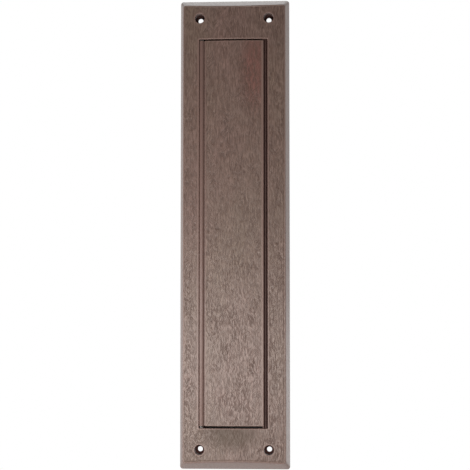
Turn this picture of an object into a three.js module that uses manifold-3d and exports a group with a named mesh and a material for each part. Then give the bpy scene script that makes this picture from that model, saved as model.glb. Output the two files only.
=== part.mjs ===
// Letter plate draught excluder: a moulded plate with a sprung inner flap and two brush strips.
// Millimetres. +Z runs along the plate, +X to the right, and the door lies behind it, at +Y.
// The back rim is on the plane y = 0, so a height "depth" above the door is y = -depth.
// The origin is the middle of the plate on the door's face.

import * as THREE from 'three';
import Module from 'manifold-3d';
import { mergeVertices } from 'three/addons/utils/BufferGeometryUtils.js';

const wasm = await Module();
wasm.setup();

// ---- driving dimensions ----

// the moulded plate
const LENGTH = 338;
const WIDTH = 79;
const DEPTH = 13; // height of the face above the door along its middle
const CROWN = 2.5; // how much lower the face is along its long edges
const WALL = 2.4;
const CORNER_RADIUS = 2;
const SIDE_RUN = 3.5; // how far a long wall leans in over the whole depth
const END_RUN = 6; // how far a short wall leans in over the whole depth

// the rectangular opening, which the flap fills
const OPENING = { left: -25.6, right: 24, top: 139.2, radius: 0.6 };
const HINGE_LIP = { out: 0.45, low: 11.1 }; // overhangs the hinge side of the opening, by the face
const RETURN_WALL = 1.8; // thickness of the walls that line the opening
const RETURN_END = 0.6; // depth at which the two short return walls stop
const LEDGE = { inner: 20.3, lip: 21, ribLeft: 21.9, ribRight: 22.75 };
const LEDGE_DEPTH = { low: 4.95, floor: 5.8, rib: 8, lip: 9.1 };

// the four countersunk fixing holes
const HOLE_SPACING = { x: 49.5, z: 309 };
const HOLE = { boss: 5.2, mouth: 3.55, seat: 3.4, bore: 1.85, coneTop: 3.4, coneBottom: 2 };

// the flap and its hinge
const HINGE = { x: -23.35, depth: 9.9 };
const FLAP = { left: -20.95, right: 21.3, bottom: -137.7, top: 138.2, thickness: 2.4, recess: 0.35 };
const FREE_EDGE_RADIUS = 0.9;
const BEAD_RADIUS = 1.95;
const BEAD_BORE = 1;
const NECK = { low: 9, high: 10.6 };
const ROD = { radius: 0.75, end: 146.8 };
const ROD_SLOT = 0.95; // half-width of the slots that the rod lies in
const WASHER = { radius: 1.9, bore: 1, gap: 0.3 };
const SPRING = { inner: 0.95, outer: 1.28, length: 7, middle: 123, pocket: 9 };
const POCKET = { radius: 1.42, halfWidth: 1.4 };
const BEARING = { halfWidth: 4.6, start: 140.5, end: 147.2, low: 5.9 };
const CAP = { halfWidth: 4.4, low: 4.2, high: 5.6, start: 141.4, end: 147, tongue: 0.7, tip: 8.85 };

// the brush strips, measured outwards from the long edge of the opening
const CARRIER = { end: 139, low: 0.6, high: 4.6, channel: 4.9, flange: 9.4, flangeLow: 3.2 };
const CHANNEL = { low: 1.4, high: 3.8, back: 4.1, lip: 0.8, lipLow: 1.55, lipHigh: 3.65 };
const CORE_WIRE = { radius: 0.55, out: 3.2, depth: 2.6 };
const BRISTLES = { end: 138.9, root: 2.3, reach: 24.6, rootHalf: 0.75, tipHalf: 1.5, depth: 2.6 };
const SCREW = { out: 7.1, spacing: 110, head: 2, headLow: 1.6, headHigh: 2.9, shank: 1.1, tip: 8.6 };
const SCREW_BOSS = { radius: 2.6, low: 4.9, bore: 1.45, boreEnd: 9 };

// ---- derived sizes ----

const FACE_HALF = WIDTH / 2 - (SIDE_RUN * (DEPTH - CROWN)) / DEPTH;
const CROWN_RADIUS = (FACE_HALF ** 2 + CROWN ** 2) / (2 * CROWN);
const CROWN_STEPS = 24;
const OVERSHOOT = 1; // how far a cutting tool runs past what it cuts

// height of the crowned face above the door at a distance x from the middle
function faceDepth(x) {
  return DEPTH - CROWN_RADIUS + Math.sqrt(CROWN_RADIUS ** 2 - x ** 2);
}

// ---- solids ----

function solid(geometry) {
  const bare = geometry.clone();
  bare.deleteAttribute('normal');
  bare.deleteAttribute('uv');
  const merged = mergeVertices(bare, 1e-4);
  return new wasm.Manifold(new wasm.Mesh({
    numProp: 3,
    vertProperties: new Float32Array(merged.attributes.position.array),
    triVerts: new Uint32Array(merged.index.array),
  }));
}

function geometryOf(manifold) {
  const mesh = manifold.getMesh();
  const geometry = new THREE.BufferGeometry();
  geometry.setAttribute('position', new THREE.BufferAttribute(mesh.vertProperties, 3));
  geometry.setIndex(new THREE.BufferAttribute(mesh.triVerts, 1));
  return geometry;
}

function union(parts) {
  return parts.reduce((whole, part) => whole.add(part));
}

function outline(points) {
  return new THREE.Shape(points.map(([x, y]) => new THREE.Vector2(x, y)));
}

function roundedRectangle(left, right, bottom, top, radius) {
  const shape = new THREE.Shape();
  shape.moveTo(right, bottom + radius);
  shape.absarc(right - radius, top - radius, radius, 0, Math.PI / 2, false);
  shape.absarc(left + radius, top - radius, radius, Math.PI / 2, Math.PI, false);
  shape.absarc(left + radius, bottom + radius, radius, Math.PI, 1.5 * Math.PI, false);
  shape.absarc(right - radius, bottom + radius, radius, 1.5 * Math.PI, 2 * Math.PI, false);
  return shape;
}

// an outline drawn in x and z, given thickness between two depths
function slab(shape, low, high) {
  const options = { depth: high - low, bevelEnabled: false, curveSegments: 6 };
  const geometry = new THREE.ExtrudeGeometry(shape, options);
  geometry.translate(0, 0, low);
  geometry.rotateX(Math.PI / 2);
  return geometry;
}

// a cross-section drawn as points of x and depth, run along z
function rail(points, bottom, top) {
  const shape = outline(points.map(([x, depth]) => [x, -depth]));
  const geometry = new THREE.ExtrudeGeometry(shape, { depth: top - bottom, bevelEnabled: false });
  geometry.translate(0, 0, bottom);
  return geometry;
}

function block(left, right, low, high, bottom, top) {
  const geometry = new THREE.BoxGeometry(right - left, high - low, top - bottom);
  geometry.translate((left + right) / 2, -(low + high) / 2, (bottom + top) / 2);
  return geometry;
}

// a round bar along z, centred on a point of x and depth
function bar(x, depth, radius, bottom, top, sides = 24) {
  const geometry = new THREE.CylinderGeometry(radius, radius, top - bottom, sides);
  geometry.rotateX(Math.PI / 2);
  geometry.translate(x, -depth, (bottom + top) / 2);
  return geometry;
}

// a round post standing on the door's face, with its own radius at each end
function post(x, z, lowRadius, highRadius, low, high, sides = 32) {
  const geometry = new THREE.CylinderGeometry(lowRadius, highRadius, high - low, sides);
  geometry.translate(x, -(low + high) / 2, z);
  return geometry;
}

// a round ring along z, centred on the hinge line
function ring(inner, outer, bottom, top) {
  const profile = [[inner, 0], [outer, 0], [outer, top - bottom], [inner, top - bottom], [inner, 0]];
  const points = profile.map(([radius, height]) => new THREE.Vector2(radius, height));
  const geometry = new THREE.LatheGeometry(points, 24);
  geometry.rotateX(Math.PI / 2);
  geometry.translate(HINGE.x, -HINGE.depth, bottom);
  return geometry;
}

// points along the crowned face, a given distance below it
function crownPoints(left, right, below, steps = CROWN_STEPS) {
  const points = [];
  for (let i = 0; i <= steps; i += 1) {
    const x = left + ((right - left) * i) / steps;
    points.push([x, faceDepth(x) - below]);
  }
  return points;
}

// ---- the moulded plate ----

// the drafted block that the plate is moulded from, with every wall moved in by an inset
function draftedBlock(inset, low, high) {
  const x = WIDTH / 2 - inset;
  const z = LENGTH / 2 - inset;
  const radius = Math.max(CORNER_RADIUS - inset, 0.5);
  const geometry = slab(roundedRectangle(-x, x, -z, z, radius), low, high);
  const position = geometry.attributes.position;
  for (let i = 0; i < position.count; i += 1) {
    const share = -position.getY(i) / DEPTH;
    const sideways = Math.sign(position.getX(i)) * SIDE_RUN * share;
    const endways = Math.sign(position.getZ(i)) * END_RUN * share;
    position.setX(i, position.getX(i) - sideways);
    position.setZ(i, position.getZ(i) - endways);
  }
  return solid(geometry);
}

// everything behind the crowned face, less an inset
function behindFace(inset) {
  const reach = WIDTH / 2 + OVERSHOOT;
  const back = [[reach, -2 * OVERSHOOT], [-reach, -2 * OVERSHOOT]];
  const end = LENGTH / 2 + OVERSHOOT;
  return solid(rail([...crownPoints(-reach, reach, inset), ...back], -end, end));
}

function fixingHoleCentres() {
  return [-0.5, 0.5].flatMap((i) => [-0.5, 0.5].map((j) => [HOLE_SPACING.x * i, HOLE_SPACING.z * j]));
}

function fixingHole(x, z) {
  return union([
    solid(post(x, z, HOLE.seat, HOLE.mouth, HOLE.coneTop, DEPTH + OVERSHOOT)),
    solid(post(x, z, HOLE.bore, HOLE.seat, HOLE.coneBottom, HOLE.coneTop + 0.01)),
    solid(post(x, z, HOLE.bore, HOLE.bore, -OVERSHOOT, HOLE.coneBottom + 0.01)),
  ]);
}

// the two long edges of the opening, each with the direction that leads away from it
const EDGES = { left: [OPENING.left, -1], right: [OPENING.right, 1] };
const SCREW_ROWS = { bottom: -SCREW.spacing, middle: 0, top: SCREW.spacing };

function screwBosses(radius, low, high) {
  return Object.values(EDGES).flatMap(([edge, side]) =>
    Object.values(SCREW_ROWS).map((z) =>
      solid(post(edge + side * SCREW.out, z, radius, radius, low, high, 20))));
}

// the ledge that the flap's free edge shuts against: a lip under the flap, and a low rib
// that stands between two grooves in the gap beside the flap
function stopLedge() {
  const wall = OPENING.right + 0.5;
  const { low, floor } = LEDGE_DEPTH;
  const section = [
    [wall, low], [wall, floor], [LEDGE.ribRight, floor], [LEDGE.ribRight, LEDGE_DEPTH.rib],
    [LEDGE.ribLeft, LEDGE_DEPTH.rib], [LEDGE.ribLeft, floor], [LEDGE.lip, floor],
    [LEDGE.lip, LEDGE_DEPTH.lip], [LEDGE.inner, LEDGE_DEPTH.lip], [LEDGE.inner, low],
  ];
  return solid(rail(section, -OPENING.top - 0.5, OPENING.top + 0.5));
}

function bearingBlock(end) {
  const [bottom, top] = [end * BEARING.start, end * BEARING.end].sort((a, b) => a - b);
  const left = HINGE.x - BEARING.halfWidth;
  const right = HINGE.x + BEARING.halfWidth;
  return solid(block(left, right, BEARING.low, DEPTH, bottom, top));
}

// the slot that the hinge rod drops into from behind
function rodSlot(end) {
  const from = end * (OPENING.top - 0.1);
  const to = end * (BEARING.end + 0.1);
  const [bottom, top] = [from, to].sort((a, b) => a - b);
  const left = HINGE.x - ROD_SLOT;
  const right = HINGE.x + ROD_SLOT;
  return union([
    solid(block(left, right, -OVERSHOOT, HINGE.depth, bottom, top)),
    solid(bar(HINGE.x, HINGE.depth, ROD_SLOT, bottom, top)),
  ]);
}

function openingOutline(grow, radius) {
  const { left, right, top } = OPENING;
  return roundedRectangle(left - grow, right + grow, -top - grow, top + grow, radius);
}

// the opening's cutter, which leaves a narrow lip beside the flap's bead
function openingCut() {
  const { left, right, top, radius } = OPENING;
  const mouth = roundedRectangle(left + HINGE_LIP.out, right, -top, top, radius);
  return union([
    solid(slab(openingOutline(0, radius), -OVERSHOOT, HINGE_LIP.low)),
    solid(slab(mouth, HINGE_LIP.low - 0.01, DEPTH + OVERSHOOT)),
  ]);
}

function frame() {
  const outside = draftedBlock(0, 0, DEPTH + OVERSHOOT).intersect(behindFace(0));
  const inside = draftedBlock(WALL, -OVERSHOOT, DEPTH + OVERSHOOT).intersect(behindFace(WALL));

  const lining = solid(slab(openingOutline(RETURN_WALL, 1), RETURN_END, DEPTH));
  const behindBrushes = solid(block(
    OPENING.left - RETURN_WALL - OVERSHOOT, OPENING.right + RETURN_WALL + OVERSHOOT,
    0, SCREW_BOSS.low, -OPENING.top, OPENING.top,
  ));
  const bosses = fixingHoleCentres().map(([x, z]) => solid(post(x, z, HOLE.boss, HOLE.boss, 0, DEPTH)));
  const added = union([
    lining.subtract(behindBrushes),
    ...bosses,
    ...screwBosses(SCREW_BOSS.radius, SCREW_BOSS.low, DEPTH),
    bearingBlock(1),
    bearingBlock(-1),
  ]).intersect(outside);

  const cuts = union([
    openingCut(),
    ...fixingHoleCentres().map(([x, z]) => fixingHole(x, z)),
    ...screwBosses(SCREW_BOSS.bore, -OVERSHOOT, SCREW_BOSS.boreEnd),
    rodSlot(1),
    rodSlot(-1),
  ]);
  return outside.subtract(inside).add(added).subtract(cuts).add(stopLedge());
}

// ---- the flap and its hinge ----

// the panel follows the crown of the face, and its free edge is rounded
function panelSection() {
  const front = crownPoints(FLAP.left, FLAP.right - FREE_EDGE_RADIUS, FLAP.recess);
  const back = crownPoints(FLAP.right, FLAP.left, FLAP.recess + FLAP.thickness);
  const centreX = FLAP.right - FREE_EDGE_RADIUS;
  const centreDepth = faceDepth(centreX) - FLAP.recess - FREE_EDGE_RADIUS;
  const edge = [];
  for (let i = 1; i <= 5; i += 1) {
    const angle = (Math.PI / 2) * (1 - i / 5);
    edge.push([
      centreX + FREE_EDGE_RADIUS * Math.cos(angle),
      centreDepth + FREE_EDGE_RADIUS * Math.sin(angle),
    ]);
  }
  return [...front, ...edge, ...back];
}

function springPocket(end) {
  const middle = end * SPRING.middle;
  const bottom = middle - SPRING.pocket / 2;
  const top = middle + SPRING.pocket / 2;
  const left = HINGE.x - POCKET.halfWidth;
  const right = HINGE.x + POCKET.halfWidth;
  const low = HINGE.depth - BEAD_RADIUS - OVERSHOOT;
  return union([
    solid(bar(HINGE.x, HINGE.depth, POCKET.radius, bottom, top)),
    solid(block(left, right, low, HINGE.depth, bottom, top)),
  ]);
}

function flap() {
  const neckRight = FLAP.left + 0.4;
  const body = union([
    solid(rail(panelSection(), FLAP.bottom, FLAP.top)),
    solid(bar(HINGE.x, HINGE.depth, BEAD_RADIUS, FLAP.bottom, FLAP.top)),
    solid(block(HINGE.x, neckRight, NECK.low, NECK.high, FLAP.bottom, FLAP.top)),
  ]);
  const bore = bar(HINGE.x, HINGE.depth, BEAD_BORE, FLAP.bottom - OVERSHOOT, FLAP.top + OVERSHOOT);
  return body.subtract(union([solid(bore), springPocket(1), springPocket(-1)]));
}

// a washer fills the gap between the bead and the end of the opening
function washer(end) {
  const inner = (end > 0 ? FLAP.top : -FLAP.bottom) + WASHER.gap;
  const outer = OPENING.top - WASHER.gap;
  const [bottom, top] = [end * inner, end * outer].sort((a, b) => a - b);
  return solid(ring(WASHER.bore, WASHER.radius, bottom, top));
}

// the outer shape of the coil round the rod
function spring(end) {
  const bottom = end * SPRING.middle - SPRING.length / 2;
  return solid(ring(SPRING.inner, SPRING.outer, bottom, bottom + SPRING.length));
}

// a cap shuts each rod slot from behind, and its tongue holds the rod in
function bearingCap(end) {
  const [bottom, top] = [end * CAP.start, end * CAP.end].sort((a, b) => a - b);
  const plate = block(HINGE.x - CAP.halfWidth, HINGE.x + CAP.halfWidth, CAP.low, CAP.high, bottom, top);
  const left = HINGE.x - CAP.tongue;
  const right = HINGE.x + CAP.tongue;
  const tongue = block(left, right, CAP.high - 0.1, CAP.tip, bottom, top);
  return solid(plate).add(solid(tongue));
}

// ---- the brush strips ----

// a section drawn as points of distance outwards from the opening's edge and depth
function brushRail([edge, side], section, end) {
  const points = section.map(([out, depth]) => [edge + side * out, depth]);
  return solid(rail(side > 0 ? points.reverse() : points, -end, end));
}

// an aluminium strip: a lipped channel for the bristles, and a flange that is screwed down
function carrier(edge) {
  const { low, high, channel, flange, flangeLow, end } = CARRIER;
  const section = [
    [0, low], [channel, low], [channel, flangeLow], [flange, flangeLow], [flange, high], [0, high],
    [0, CHANNEL.lipHigh], [CHANNEL.lip, CHANNEL.lipHigh], [CHANNEL.lip, CHANNEL.high],
    [CHANNEL.back, CHANNEL.high], [CHANNEL.back, CHANNEL.low], [CHANNEL.lip, CHANNEL.low],
    [CHANNEL.lip, CHANNEL.lipLow], [0, CHANNEL.lipLow],
  ];
  const [from, side] = edge;
  const holes = Object.values(SCREW_ROWS).map((z) =>
    solid(post(from + side * SCREW.out, z, SCREW_BOSS.bore, SCREW_BOSS.bore, flangeLow - 0.5, high + 0.5, 20)));
  return brushRail(edge, section, end).subtract(union(holes));
}

function coreWire([edge, side]) {
  const x = edge + side * CORE_WIRE.out;
  return solid(bar(x, CORE_WIRE.depth, CORE_WIRE.radius, -BRISTLES.end, BRISTLES.end, 12));
}

// the bristles as one pack, pinched in the channel and spreading towards their tips
function bristles(edge) {
  const { root, reach, rootHalf, tipHalf, depth } = BRISTLES;
  const section = [
    [root, depth - rootHalf], [root, depth + rootHalf], [-0.5, depth + rootHalf],
    [-reach, depth + tipHalf], [-reach, depth - tipHalf], [-0.5, depth - rootHalf],
  ];
  return brushRail(edge, section, BRISTLES.end);
}

function carrierScrew([edge, side], z) {
  const x = edge + side * SCREW.out;
  const head = post(x, z, SCREW.head * 0.8, SCREW.head, SCREW.headLow, SCREW.headHigh, 20);
  const shank = post(x, z, SCREW.shank, SCREW.shank, SCREW.headHigh - 0.1, SCREW.tip - 1, 16);
  const tip = post(x, z, SCREW.shank, SCREW.shank * 0.4, SCREW.tip - 1, SCREW.tip, 16);
  return union([solid(head), solid(shank), solid(tip)]);
}

// ---- the assembly ----

const brown = { color: 0x5d4a41, roughness: 0.45, metalness: 0 };
const steel = { color: 0xb4b4b0, roughness: 0.35, metalness: 1 };
const aluminium = { color: 0xa9abad, roughness: 0.45, metalness: 1 };
const black = { color: 0x161412, roughness: 0.8, metalness: 0 };
const nylon = { color: 0x4a3a33, roughness: 0.5, metalness: 0 };

const group = new THREE.Group();

function place(name, manifold, look) {
  const mesh = new THREE.Mesh(geometryOf(manifold), new THREE.MeshStandardMaterial(look));
  mesh.name = name;
  group.add(mesh);
}

place('frame', frame(), brown);
place('flap', flap(), brown);
place('hinge_rod', solid(bar(HINGE.x, HINGE.depth, ROD.radius, -ROD.end, ROD.end, 16)), steel);

for (const [name, end] of [['top', 1], ['bottom', -1]]) {
  place(`hinge_washer_${name}`, washer(end), nylon);
  place(`flap_spring_${name}`, spring(end), steel);
  place(`bearing_cap_${name}`, bearingCap(end), nylon);
}

for (const [name, edge] of Object.entries(EDGES)) {
  place(`brush_carrier_${name}`, carrier(edge), aluminium);
  place(`core_wire_${name}`, coreWire(edge), steel);
  place(`bristles_${name}`, bristles(edge), black);
  for (const [row, z] of Object.entries(SCREW_ROWS)) {
    place(`carrier_screw_${name}_${row}`, carrierScrew(edge, z), steel);
  }
}

export default group;
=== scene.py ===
"""The looks of the letter plate draught excluder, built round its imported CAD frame.

Shapes are made in millimetres as points of x, depth and z. Depth is the height above the
door, so a point lies at y = -depth. Each finished shape is a mesh in metres.
"""

import math
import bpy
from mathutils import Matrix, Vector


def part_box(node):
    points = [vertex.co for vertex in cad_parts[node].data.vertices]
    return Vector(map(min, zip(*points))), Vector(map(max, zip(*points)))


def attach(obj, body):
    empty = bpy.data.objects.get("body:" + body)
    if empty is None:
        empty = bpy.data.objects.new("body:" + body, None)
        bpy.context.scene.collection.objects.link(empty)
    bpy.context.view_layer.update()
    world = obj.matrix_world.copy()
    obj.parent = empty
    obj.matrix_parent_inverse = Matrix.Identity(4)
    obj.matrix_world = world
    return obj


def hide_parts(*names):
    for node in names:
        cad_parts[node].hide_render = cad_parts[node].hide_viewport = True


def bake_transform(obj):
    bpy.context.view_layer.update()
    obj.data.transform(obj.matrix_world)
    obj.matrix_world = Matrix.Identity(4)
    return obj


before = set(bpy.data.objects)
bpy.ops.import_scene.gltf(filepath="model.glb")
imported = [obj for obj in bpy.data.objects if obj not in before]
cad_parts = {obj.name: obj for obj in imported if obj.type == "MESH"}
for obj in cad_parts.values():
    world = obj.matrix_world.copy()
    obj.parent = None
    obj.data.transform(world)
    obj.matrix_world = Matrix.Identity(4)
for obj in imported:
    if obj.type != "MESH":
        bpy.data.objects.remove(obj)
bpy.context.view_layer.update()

from types import SimpleNamespace

import bmesh
import bpy
import numpy as np
from mathutils import Euler, Matrix, Vector

MM = 0.001
TURN = 2 * math.pi

# ---- sizes taken from the frame, in millimetres ----


def span(node):
    """The box of a CAD node: left, right, low, high, bottom and top."""
    lowest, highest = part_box(node)
    return SimpleNamespace(
        left=lowest.x / MM, right=highest.x / MM,
        low=-highest.y / MM, high=-lowest.y / MM,
        bottom=lowest.z / MM, top=highest.z / MM,
    )


PLATE = span("frame")
BEAD_AND_PANEL = span("flap")
ROD = span("hinge_rod")
WASHERS = {"top": span("hinge_washer_top"), "bottom": span("hinge_washer_bottom")}

HINGE_X = (ROD.left + ROD.right) / 2
HINGE_DEPTH = (ROD.low + ROD.high) / 2

# ---- sizes that the frame's boxes don't give, as in the CAD source ----

CROWN = 2.5
WALL = 2.4
CORNER_RADIUS = 2
SIDE_RUN = 3.5
END_RUN = 6
END_GAP = 0.3  # between a washer and the end of the opening

OPENING = SimpleNamespace(
    left=span("brush_carrier_left").right,
    right=span("brush_carrier_right").left,
    top=WASHERS["top"].top + END_GAP,
    radius=0.6,
)
HINGE_LIP = SimpleNamespace(out=0.45, low=11.1)
RETURN_WALL = 1.8
RETURN_END = 0.6
LEDGE = SimpleNamespace(inner=20.3, lip=21, rib_left=21.9, rib_right=22.75)
LEDGE_DEPTH = SimpleNamespace(low=4.95, floor=5.8, rib=8, lip=9.1)
HOLE_SPACING = (49.5, 309)
HOLE = SimpleNamespace(boss=5.2, mouth=3.52, seat=3.4, bore=1.85, cone_top=3.4, cone_bottom=2)
BEAD_RADIUS = 1.95
BEAD_BORE = 1
PANEL = SimpleNamespace(left=-20.95, thickness=2.4, recess=0.35, free_edge=0.9)
NECK = (9, 10.6)
ROD_SLOT = 0.95
SPRING = SimpleNamespace(mean=1.115, wire=0.165, middle=123, pocket=9, turns=15)
POCKET = SimpleNamespace(radius=1.42, half_width=1.4)
BEARING = SimpleNamespace(half_width=4.6, start=140.5, end=147.2, low=5.9)
CAP_TONGUE = 0.7
CAP_HIGH = 5.6
CHANNEL = SimpleNamespace(low=1.4, high=3.8, back=4.1, lip=0.8, lip_low=1.55, lip_high=3.65)
CARRIER = SimpleNamespace(channel=4.9, flange_low=3.2)
CORE = SimpleNamespace(radius=0.55, out=3.2, depth=2.6)
BRUSH = SimpleNamespace(end=138.9, reach=24.6, tip_half=1.45)
SCREW = SimpleNamespace(
    out=7.1, spacing=110, head=2, head_low=1.6, head_high=2.9, shank=1.1, tip=8.6,
)
SCREW_BOSS = SimpleNamespace(radius=2.6, low=4.9, bore=1.45, end=9)

LENGTH = PLATE.top - PLATE.bottom
WIDTH = PLATE.right - PLATE.left
DEPTH = PLATE.high
FACE_HALF = WIDTH / 2 - SIDE_RUN * (DEPTH - CROWN) / DEPTH
CROWN_RADIUS = (FACE_HALF**2 + CROWN**2) / (2 * CROWN)
EDGES = {"left": (OPENING.left, -1), "right": (OPENING.right, 1)}
SCREW_ROWS = {"bottom": -SCREW.spacing, "middle": 0, "top": SCREW.spacing}
HOLE_CENTRES = [(HOLE_SPACING[0] * i, HOLE_SPACING[1] * j) for i in (-0.5, 0.5) for j in (-0.5, 0.5)]
PAST = 1  # how far a cutting tool runs past what it cuts


def face_depth(x):
    """Height of the crowned face above the door at a distance x from the middle."""
    return DEPTH - CROWN_RADIUS + np.sqrt(CROWN_RADIUS**2 - np.asarray(x, float) ** 2)


def face_end(x):
    """How far the face reaches along z at a distance x from the middle."""
    return LENGTH / 2 - END_RUN * face_depth(x) / DEPTH


# ---- the embossed wood grain ----

GRAIN_DEPTH = 0.12
PORE_WIDTH = 0.7
PORE_LENGTH = 3.2
FOLD_WIDTH = 5.0  # width of a column of nested arches
PLATE_SEED = 11
FLAP_SEED = 23


def smooth_step(low, high, value):
    share = np.clip((value - low) / (high - low), 0, 1)
    return share * share * (3 - 2 * share)


def field(x, z, seed):
    """Smooth noise from -1 to 1 over a plane of unit cells."""
    size = 128
    table = np.random.default_rng(seed).uniform(-1, 1, (size, size))
    i = np.floor(x).astype(int)
    j = np.floor(z).astype(int)
    u = smooth_step(0, 1, x - i)
    v = smooth_step(0, 1, z - j)
    near = table[i % size, j % size] * (1 - u) + table[(i + 1) % size, j % size] * u
    far = table[i % size, (j + 1) % size] * (1 - u) + table[(i + 1) % size, (j + 1) % size] * u
    return near * (1 - v) + far * v


def growth(x, z, seed):
    """The growth lines, which run in columns of nested arches, and where they show strongly.

    It gives the distance across the lines, the column's number and the strength of the grain.
    """
    columns = (x + 2.5 * field(x / 20, z / 45, seed)) / FOLD_WIDTH
    fold = np.abs(columns % 2 - 1) * FOLD_WIDTH
    across = fold + 3.7 * field(x / 18, z / 13, seed + 1)
    strength = 0.6 + 0.4 * smooth_step(-0.4, 0.6, field(x / 6.5, z / 12, seed + 3))
    return SimpleNamespace(across=across, column=np.floor(columns), strength=strength)


def grain(x, z, seed):
    """Depth of the grain's pores, from 0 to 1. They are short and follow the growth lines."""
    lines = growth(x, z, seed)
    pores = field(lines.across / PORE_WIDTH, z / PORE_LENGTH + 7.3 * lines.column, seed + 2)
    return lines.strength * smooth_step(0, 0.5, pores)


def patch_on(x, z, spot):
    """1 in the middle of a soft patch on the face and 0 outside it."""
    away = np.hypot((x - spot.x) / spot.width, (z - spot.z) / spot.length)
    return 1 - smooth_step(0.3, 1.3, away)


def store_grain(target, seed, textured, recess):
    """Stores what the brown plastic's material needs to know at each point."""
    x, _, z = points_of(target).T
    lines = growth(x, z, seed)
    store(target, "pore", grain(x, z, seed) * textured)
    store(target, "across", lines.across)
    store(target, "column", lines.column)
    store(target, "strength", lines.strength * textured)
    store(target, "textured", textured)
    store(target, "recess", recess)


def plate_grain_mask(x, z, border=1.7, rim=0.9):
    """1 on the textured part of the plate's face, 0 by its border, opening and holes."""
    ends = face_end(np.clip(x, -FACE_HALF, FACE_HALF)) - np.abs(z)
    mask = smooth_step(border, border + 0.6, np.minimum(FACE_HALF - np.abs(x), ends))
    outside_opening = np.maximum(
        np.maximum(OPENING.left - x, x - OPENING.right), np.abs(z) - OPENING.top
    )
    mask = mask * smooth_step(rim, rim + 0.6, outside_opening)
    for hole_x, hole_z in HOLE_CENTRES:
        from_hole = np.hypot(x - hole_x, z - hole_z) - HOLE.mouth
        mask = mask * smooth_step(rim, rim + 0.6, from_hole)
    return mask


def panel_grain_mask(x, z, rim=0.5):
    flap = BEAD_AND_PANEL
    sides = np.minimum(x - PANEL.left, flap.right - 1 - x)
    ends = np.minimum(z - flap.bottom, flap.top - z)
    return smooth_step(rim, rim + 0.8, np.minimum(sides, ends))


# ---- mesh tools ----


def solid(name, points, faces):
    """A closed mesh object from points of x, depth and z."""
    mesh = bpy.data.meshes.new(name)
    placed = np.asarray(points, float) * (MM, -MM, MM)
    mesh.from_pydata(placed.tolist(), [], faces)
    shape = bmesh.new()
    shape.from_mesh(mesh)
    bmesh.ops.recalc_face_normals(shape, faces=shape.faces)
    shape.to_mesh(mesh)
    shape.free()
    made = bpy.data.objects.new(name, mesh)
    bpy.context.scene.collection.objects.link(made)
    return made


def loft(name, rings, closed=False):
    """A skin over rings of points, capped at both ends or joined into a loop."""
    count = len(rings[0])
    pairs = len(rings) if closed else len(rings) - 1
    faces = []
    for i in range(pairs):
        here = i * count
        there = (i + 1) % len(rings) * count
        for k in range(count):
            after = (k + 1) % count
            faces.append((here + k, here + after, there + after, there + k))
    if not closed:
        faces.append(tuple(range(count)))
        faces.append(tuple(range(pairs * count, (pairs + 1) * count)))
    return solid(name, np.concatenate(rings), faces)


def combine(target, operation, *tools):
    """Joins the tools to the target, or cuts it with them, and removes them."""
    for tool in tools:
        step = target.modifiers.new("step", "BOOLEAN")
        step.operation = operation
        step.solver = "MANIFOLD"
        step.object = tool
    graph = bpy.context.evaluated_depsgraph_get()
    made = bpy.data.meshes.new_from_object(target.evaluated_get(graph))
    target.modifiers.clear()
    target.data = made
    for tool in tools:
        bpy.data.objects.remove(tool)
    return target


def rounded_edges(target, width):
    """Rounds every sharp edge."""
    step = target.modifiers.new("rounding", "BEVEL")
    step.width = width * MM
    step.segments = 3
    step.limit_method = "ANGLE"
    step.angle_limit = math.radians(35)
    return combine(target, "UNION")


def points_of(target):
    """A mesh's points as x, depth and z in millimetres."""
    flat = np.zeros(len(target.data.vertices) * 3)
    target.data.vertices.foreach_get("co", flat)
    return flat.reshape(-1, 3) / (MM, -MM, MM)


def store(target, name, values):
    attribute = target.data.attributes.new(name, "FLOAT", "POINT")
    attribute.data.foreach_set("value", np.asarray(values, np.float32))


def finished(target, name, material, slot, *nodes, body="plate", sharp=35):
    """Names a piece, gives it its material and puts it on its body in place of CAD nodes."""
    target.name = name
    target.data.name = name
    target.data.materials.clear()
    target.data.materials.append(material)
    target.data.shade_smooth()
    target.data.set_sharp_from_angle(angle=math.radians(sharp))
    if body:
        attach(target, body)
    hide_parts(*nodes)
    return target


# ---- outlines and simple solids ----


def rectangle(left, right, bottom, top, radius, arc=6, step=None):
    """An outline with round corners: its points of x and z, and the way out at each."""
    points = []
    ways = []
    centres = [
        (right - radius, bottom + radius), (right - radius, top - radius),
        (left + radius, top - radius), (left + radius, bottom + radius),
    ]
    for corner, centre in enumerate(centres):
        for k in range(arc + 1):
            angle = TURN / 4 * (corner - 1 + k / arc)
            way = np.array([math.cos(angle), math.sin(angle)])
            points.append(np.array(centre) + radius * way)
            ways.append(way)
        following = np.array(centres[(corner + 1) % 4]) + radius * ways[-1]
        pieces = max(1, round(np.linalg.norm(following - points[-1]) / step)) if step else 1
        for k in range(1, pieces):
            points.append(points[-k] + (following - points[-k]) * k / pieces)
            ways.append(ways[-1])
    return SimpleNamespace(points=np.array(points), ways=np.array(ways))


def circle(x, z, radius, sides=64):
    angles = np.arange(sides) * TURN / sides
    ways = np.column_stack([np.cos(angles), np.sin(angles)])
    return SimpleNamespace(points=(x, z) + radius * ways, ways=ways)


def level(outline, grow, depth):
    """A ring of points round an outline grown by a width. The depth may be a function of x."""
    flat = outline.points + grow * outline.ways
    height = depth(flat[:, 0]) if callable(depth) else np.full(len(flat), depth)
    return np.column_stack([flat[:, 0], height, flat[:, 1]])


def slab(outline, low, high):
    return loft("slab", [level(outline, 0, low), level(outline, 0, high)])


def block(left, right, low, high, bottom, top):
    corners = [(left, bottom), (right, bottom), (right, top), (left, top)]
    rings = [[(x, depth, z) for x, z in corners] for depth in (low, high)]
    return loft("block", rings)


def post(x, z, profile, sides=48):
    """A turned shape that stands on the door: its profile is a list of radius and depth."""
    return loft("post", [level(circle(x, z, radius, sides), 0, depth) for radius, depth in profile])


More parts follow.
